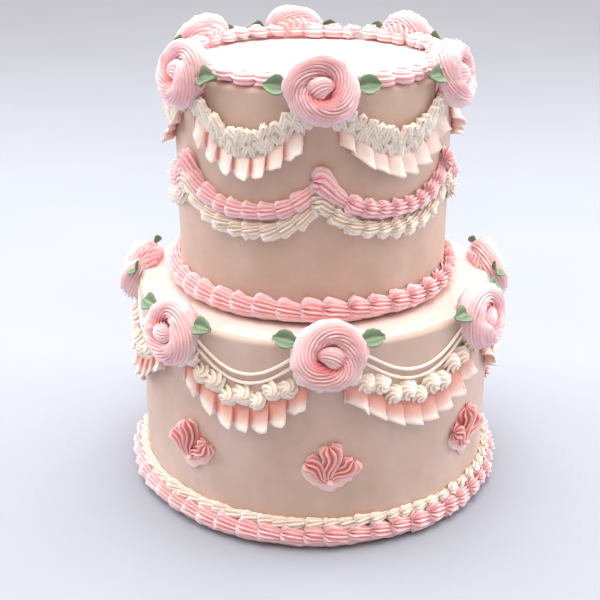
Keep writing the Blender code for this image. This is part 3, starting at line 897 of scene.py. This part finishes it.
class CAKE_OT_motifs(bpy.types.Operator):
    """Pipe the fans of three shells low on the wall"""

    bl_idname = "cake.motifs"
    bl_label = "Fan motifs"

    def execute(self, context):
        _, chance = seeded(context, 9)
        for row, angle in enumerate(MOTIF_ANGLES, 1):
            grids = [self.shell(angle, *fan_shell, chance) for fan_shell in FAN_SHELLS]
            grids += [self.pad(angle), self.smear(angle, chance), self.dot(angle)]
            add_piece(f"fan_motif_{row}", grids, "fan", [f"motif_{row}"])
        return {"FINISHED"}

    def shell(self, angle, lean, long, wide, chance):
        """A shell whose head is at the outer end of a line from the fan's foot and whose tail is at the foot.

        The line is bent like an S by 0.9 mm sin(2 pi s).
        """
        s = mids(26) ** 1.3
        turn = radians(lean + chance.uniform(-3, 3))
        reach = (long - wide * 0.6) * (1 - s)
        bow = 0.9 * MM * np.sin(2 * pi * s)
        x = reach * sin(turn) + bow * cos(turn)
        y = reach * cos(turn) - bow * sin(turn)
        path = xyz(x, y, (0.6 + 1.2 * (1 - s)) * MM)
        jag = 2.2 * MM * np.clip(1 - s / 0.5, 0, 1)
        twist = 0.2 * np.sin(6 * s) + pi / 9
        thick = wide * wedge(s, 0.62)
        nozzle = Nozzle(ridges=9, depth=0.52, fine=6, flat=0.85, torn=0.05)
        points, crest = ridged(path, thick, OUTWARD, nozzle, twist, jag, chance)
        # Painted shade: the grooves take much of the dark groove colour, and the ridges stop short of the
        # ridge colour.
        return self.on_wall(points, angle), 0.85 * crest**1.4, chance.uniform(0, 1)

    def pad(self, angle):
        """The icing behind the shells, painted dark with the groove colour as the shade behind them: a low
        lobed dome of half width 11.6 mm (1 - s^3)^0.5.
        """
        s = mids(8)
        path = xyz(0.0, 9.0 * MM, -0.9 * MM + 1.9 * MM * s)
        thick = 11.6 * MM * (1 - s**3) ** 0.5
        points, crest = ridged(path, thick, UPWARD, Nozzle(ridges=17, depth=0.10, fine=4, flat=0.84), 0.3)
        return self.on_wall(points, angle), 0.15 * crest, 0.5

    def smear(self, angle, chance):
        """The pale fringe along the fan's lower edges: a flat rope with y = -3.4 mm + 11 mm |w|^1.3.

        w goes from -1 to 1 over 29 mm, and the rope narrows as (1.02 - w^6)^0.5.
        """
        w = np.linspace(-1, 1, 44)
        path = xyz(14.5 * MM * w, (11 * np.abs(w) ** 1.3 - 3.4) * MM, 0.3 * MM)
        thick = 3.3 * MM * (1.02 - w**6) ** 0.5 * (1 + 0.12 * np.sin(9 * w + chance.uniform(0, 6)))
        nozzle = Nozzle(ridges=10, depth=0.22, fine=4, flat=0.40, torn=0.3)
        points, crest = ridged(path, thick, OUTWARD, nozzle, chance=chance)
        return self.on_wall(points, angle), 0.9 + 0.1 * crest, 1.0

    def dot(self, angle):
        """A small round dot at the foot of the fan, of half width 1.7 mm (1 - (1.6 s - 0.6)^2)^0.5."""
        s = mids(14)
        path = xyz(0.0, 0.2 * MM, (0.3 + 4.4 * s) * MM)
        thick = 1.7 * MM * (1 - (1.6 * s - 0.6) ** 2) ** 0.5
        points, _ = ridged(path, thick, UPWARD, Nozzle(ridges=1, depth=0.0, fine=20))
        return self.on_wall(points, angle), 1.0, 1.0

    def on_wall(self, points, angle):
        """Local points (along, up, out) bent round the wall, with the origin at the fan's foot."""
        turn = angle + np.degrees(points[..., 0] / LOWER.radius)
        return wall_point(LOWER, turn, points[..., 2], FAN_FOOT + points[..., 1])


class CAKE_OT_rosettes(bpy.types.Operator):
    """Pipe the large pink rosettes round the edge of each tier"""

    bl_idname = "cake.rosettes"
    bl_label = "Rosettes"

    def execute(self, context):
        sizes, chance = seeded(context, 10)
        rows = (
            (UPPER, sizes.upper_rosette, 5.2 * MM, 241.0 * MM, 20.0),
            (LOWER, sizes.lower_rosette, 5.1 * MM, 113.0 * MM, 14.0),
        )
        for tier, half, out, height, tilt in rows:
            for row, angle in enumerate(tier.roses, 1):
                roll = chance.uniform(0, 360) if row > 1 else 0.0
                axes, origin = facing(tier, angle, out, height, tilt, roll)
                way = 1 if (row + (tier is LOWER)) % 2 else -1
                pieces = (
                    self.turn(sizes, half, way, chance), self.heart(sizes, half, way, chance),
                    self.mound(half, chance),
                )
                grids = [(placed(points, axes, origin), crest, tone) for points, crest, tone in pieces]
                along = np.array((cos(radians(angle)), sin(radians(angle)), 0.0))
                for points, _, _ in grids:
                    points += ROSETTE_STRETCH * ((points - origin) @ along)[..., None] * along
                node = f"{tier.name}_rosette_{row}"
                add_piece(node + "_swirl", grids, "pink", [node])
        return {"FINISHED"}

    def turn(self, sizes, half, way, chance):
        """A ridged rope that goes a little over once round the heart, outwards from its upper side.

        Distance from the middle goes from 0.45 to 0.655 of half as s^0.7, and its half thickness is 0.34 of
        half. Its ridges creep outwards as it goes. Its grooves take less of the painted groove shade, its
        outer rim is painted paler as a painted highlight, and its inner hollow is painted coral as a painted
        shade. The way is -1 for clockwise and 1 for the other way round.
        """
        s = mids(110)
        turns = 1.2 + chance.uniform(-0.06, 0.06)
        angle = radians(90 + 60 * way) + way * 2 * pi * turns * s
        swing = chance.uniform(0, 2 * pi)
        away = half * (0.45 + 0.205 * s**0.7 + 0.022 * np.sin(3 * angle + swing))
        height = (-1.6 - 0.8 * s + 0.7 * np.sin(11 * s + swing)) * MM
        path = xyz(away * np.cos(angle), away * np.sin(angle), height)
        ends = np.clip(np.minimum(s / 0.08, (1 - s) / 0.12), 0.12, 1) ** 0.5
        thick = half * 0.34 * ends
        creep = -way * chance.uniform(4.2, 5.6) * s
        nozzle = Nozzle(sizes.rosette_ridges, depth=0.30, fine=4, flat=1.15, torn=0.10)
        points, crest = ridged(path, thick, OUTWARD, nozzle, creep, chance=chance)
        reach = np.hypot(points[..., 0], points[..., 1]) / half
        # Painted highlight on the outer rim and painted shade in the inner hollow next to the heart.
        rim = np.clip(reach * 5 - 4.2, 0, 1)
        hollow = np.clip((0.48 - reach) / 0.2, 0, 1)
        return points, np.clip((0.4 + 0.6 * crest) * (1 - hollow) + 0.5 * rim, 0, 1), 0.5

    def heart(self, sizes, half, way, chance):
        """The start of the rope, a fat tongue whose ridges fan out from its thin tail at the left.

        Along the tongue x = half (0.56 q - 0.30) and y = half (0.05 + 0.26 q - 0.38 q^2), and it stands up in
        an arch. Its half thickness is 0.37 half q^0.55 (1 - q^7)^0.5.
        """
        q = mids(44)
        rise = (5.0 * np.sin(pi * (0.15 + 0.62 * q)) - 2.6) * MM
        path = xyz(-way * half * (0.56 * q - 0.30), half * (0.05 + 0.26 * q - 0.38 * q**2), rise)
        thick = half * 0.37 * q**0.55 * (1 - q**7) ** 0.5
        jag = -1.6 * MM * np.clip((q - 0.5) / 0.5, 0, 1)
        nozzle = Nozzle(sizes.rosette_ridges - 4, depth=0.36, fine=4, flat=0.8, torn=0.04)
        points, crest = ridged(path, thick, OUTWARD, nozzle, 0.0, jag, chance)
        # Less of the painted groove shade on the heart.
        return points, 0.35 + 0.65 * crest, 0.6

    def mound(self, half, chance):
        """The icing behind the spiral, coral in front as a painted shade between the turns, and a touch
        darker in tone: its half width is half (0.66 + 0.22 s^0.5).
        """
        s = mids(10)
        path = xyz(0.0, 0.0, -12 * MM + 11.4 * MM * s)
        thick = half * (0.66 + 0.22 * s**0.5)
        nozzle = Nozzle(ridges=20, depth=0.15, fine=4, torn=0.05)
        points, crest = ridged(path, thick, UPWARD, nozzle, 1.1 * s, chance=chance)
        # Painted shade: the front of the mound, seen between the turns, takes the groove colour.
        return points, crest * np.clip((1 - s) / 0.12, 0, 1)[:, None], 0.4


class CAKE_OT_leaves(bpy.types.Operator):
    """Pipe a green leaf on either side of every rosette"""

    bl_idname = "cake.leaves"
    bl_label = "Leaves"

    def execute(self, context):
        sizes, chance = seeded(context, 11)
        rows = (
            (UPPER, 17.9 * MM, 4.2 * MM, 242.2 * MM, 28.0),
            (LOWER, 17.8 * MM, 2.4 * MM, 120.4 * MM, 42.0),
        )
        for tier, reach, out, height, tilt in rows:
            for row, angle in enumerate(tier.roses, 1):
                for side, way in (("left", -1), ("right", 1)):
                    roll = (180 if way < 0 else 0) + way * chance.uniform(-4, 14)
                    root = angle + way * np.degrees(reach / (tier.radius + out))
                    axes, origin = facing(tier, root, out, height, tilt, roll)
                    points, crest = self.leaf(sizes.leaf, chance)
                    node = f"{tier.name}_leaf_{row}_{side}"
                    grids = [(placed(points, axes, origin), crest, 0.5)]
                    add_piece(node + "_icing", grids, "leaf", [node])
        return {"FINISHED"}

    def leaf(self, long, chance):
        """A folded leaf: half width 0.38 long sin(pi u^0.8)^0.8, edges lifted above the midrib, and waved."""
        u = mids(26)[:, None]
        v = np.linspace(-1, 1, 15)
        half = 0.38 * long * np.sin(pi * u**0.8) ** 0.8
        wave = chance.uniform(0, 2 * pi)
        fold = 0.62 * half * np.abs(v) ** 1.2
        rib = 0.35 * MM * np.exp(-((v / 0.16) ** 2))
        ripple = 0.5 * MM * np.abs(v) * np.sin(8 * u + wave + v)
        veins = 0.18 * MM * np.abs(np.cos(13 * (u - 0.5 * np.abs(v)))) * (np.abs(v) > 0.15)
        z = fold + rib + ripple + veins + 1.2 * MM * np.sin(2.2 * u) - 0.6 * MM
        points = two_sided(xyz(u * long - 1.5 * MM, half * v, z), 0.8 * MM)
        # Painted light and shade: the midrib and the lifted edges take the lighter colour, the hollows
        # between them the painted shade, and the back sheet 0.3 of it as a painted shade.
        shade = np.clip(0.35 + 0.9 * np.exp(-((v / 0.14) ** 2)) + 0.5 * np.abs(v) ** 2, 0, 1)
        return points, np.concatenate([shade, shade[::-1] * 0.3])


class CAKE_OT_studio(bpy.types.Operator):
    """Lay the pale floor and set the soft lights and the camera"""

    bl_idname = "cake.studio"
    bl_label = "Studio"

    def execute(self, context):
        lights = context.scene.cake_lights
        self.floor(context)
        self.sky(context, lights)
        self.area("top_light", (0.0, 0.20, 1.15), (0, 0, 0.2), 1.0, lights.top, WHITE)
        self.area("left_light", (-1.1, 0.25, 0.55), (0, 0, 0.14), 0.8, lights.side, COOL)
        self.area("right_light", (1.1, 0.25, 0.55), (0, 0, 0.14), 0.8, lights.side, COOL)
        self.area("front_light", (0.0, -1.3, 0.5), (0, 0, 0.13), 0.8, lights.front, WARM)
        self.camera(context)
        context.scene.view_settings.view_transform = "Standard"
        return {"FINISHED"}

    def floor(self, context):
        """A flat disc, with faint mottling."""
        mesh = bpy.data.meshes.new("floor")
        turn = np.linspace(0, 2 * pi, FLOOR_SIDES, endpoint=False)
        ring = FLOOR_RADIUS * xyz(np.cos(turn), np.sin(turn), 0.0)
        mesh.from_pydata(ring.tolist(), [], [tuple(range(FLOOR_SIDES))])
        material, tree, shader = surface("pale_floor")
        mottling = spread(tree, noise(tree, 6.0, 2.0), 0.3, 0.7, 0.98, 1.02)
        shade = brightened(tree, context.scene.cake_colours.floor, mottling)
        feed(tree, shader, {"Base Color": shade, "Roughness": 0.8, "Specular IOR Level": 0.2})
        mesh.materials.append(material)
        show("floor", mesh)

    def sky(self, context, lights):
        """Light from all round: a dim warm horizon that brightens to a white crown as height^4.

        Where it is seen directly it is plain pale paper.
        """
        world = bpy.data.worlds.new("sky")
        world.use_nodes = True
        tree = world.node_tree
        ray = add_node(tree, "SeparateXYZ", {"Vector": add_node(tree, "TexCoord").outputs["Generated"]})
        power = worked(tree, "POWER", ray.outputs["Z"], 4.0, clamp=True)
        tint = mixed(tree, power, (*WARM, 1.0), (*WHITE, 1.0))
        glow = spread(tree, power, 0.0, 1.0, lights.horizon, lights.crown)
        seen = add_node(tree, "LightPath").outputs["Is Camera Ray"]
        feed(tree, tree.nodes["Background"], {
            "Color": mixed(tree, seen, tint, (*PAPER, 1.0)),
            "Strength": mixed(tree, seen, glow, 1.0, "FLOAT"),
        })
        context.scene.world = world

    def area(self, name, place, target, size, power, tint):
        """A square soft light aimed at a point."""
        lamp = bpy.data.lights.new(name, "AREA")
        lamp.size = size
        lamp.energy = power
        lamp.color = tint
        obj = show(name, lamp)
        obj.location = place
        aim = np.asarray(target) - np.asarray(place)
        obj.rotation_euler = (
            pi / 2 + np.arctan2(aim[2], np.hypot(aim[0], aim[1])), 0.0, np.arctan2(-aim[0], aim[1])
        )

    def camera(self, context):
        """The photograph's viewpoint: 0.61 m in front, 0.36 m up, looking 23 degrees down."""
        lens = bpy.data.cameras.new("camera")
        lens.sensor_width = 36.0
        lens.lens = CAMERA_LENS
        lens.clip_start = 0.01
        obj = show("camera", lens)
        obj.location = CAMERA_PLACE
        obj.rotation_euler = (radians(90 - CAMERA_DOWN), 0.0, radians(CAMERA_TURN))
        context.scene.camera = obj


class CAKE_PT_panel(bpy.types.Panel):
    """Settings and steps of the cake"""

    bl_label = "Lambeth cake"
    bl_idname = "CAKE_PT_panel"
    bl_space_type = "VIEW_3D"
    bl_region_type = "UI"
    bl_category = "Cake"

    def draw(self, context):
        for step in STEPS:
            self.layout.operator(step.bl_idname)
        for group in (context.scene.cake_sizes, context.scene.cake_colours, context.scene.cake_lights):
            box = self.layout.box()
            for name in group.bl_rna.properties.keys():
                if name not in ("rna_type", "name"):
                    box.prop(group, name)


STEPS = (
    CAKE_OT_tiers, CAKE_OT_base_border, CAKE_OT_foot_border, CAKE_OT_rim_swirls, CAKE_OT_garland,
    CAKE_OT_ruffles, CAKE_OT_swags, CAKE_OT_strings, CAKE_OT_stars, CAKE_OT_motifs, CAKE_OT_rosettes,
    CAKE_OT_leaves, CAKE_OT_studio,
)
CLASSES = (PipingSizes, IcingColours, StudioLights, *STEPS, CAKE_PT_panel)


def register():
    """Add the classes and the settings that hang on the scene."""
    for cls in CLASSES:
        bpy.utils.register_class(cls)
    bpy.types.Scene.cake_sizes = PointerProperty(type=PipingSizes)
    bpy.types.Scene.cake_colours = PointerProperty(type=IcingColours)
    bpy.types.Scene.cake_lights = PointerProperty(type=StudioLights)


def unregister():
    """Take the settings and the classes away again."""
    del bpy.types.Scene.cake_lights
    del bpy.types.Scene.cake_colours
    del bpy.types.Scene.cake_sizes
    for cls in reversed(CLASSES):
        bpy.utils.unregister_class(cls)


def main():
    """Run every step in order."""
    register()
    for step in STEPS:
        group, name = step.bl_idname.split(".")
        getattr(getattr(bpy.ops, group), name)()


if __name__ == "__main__":
    main()
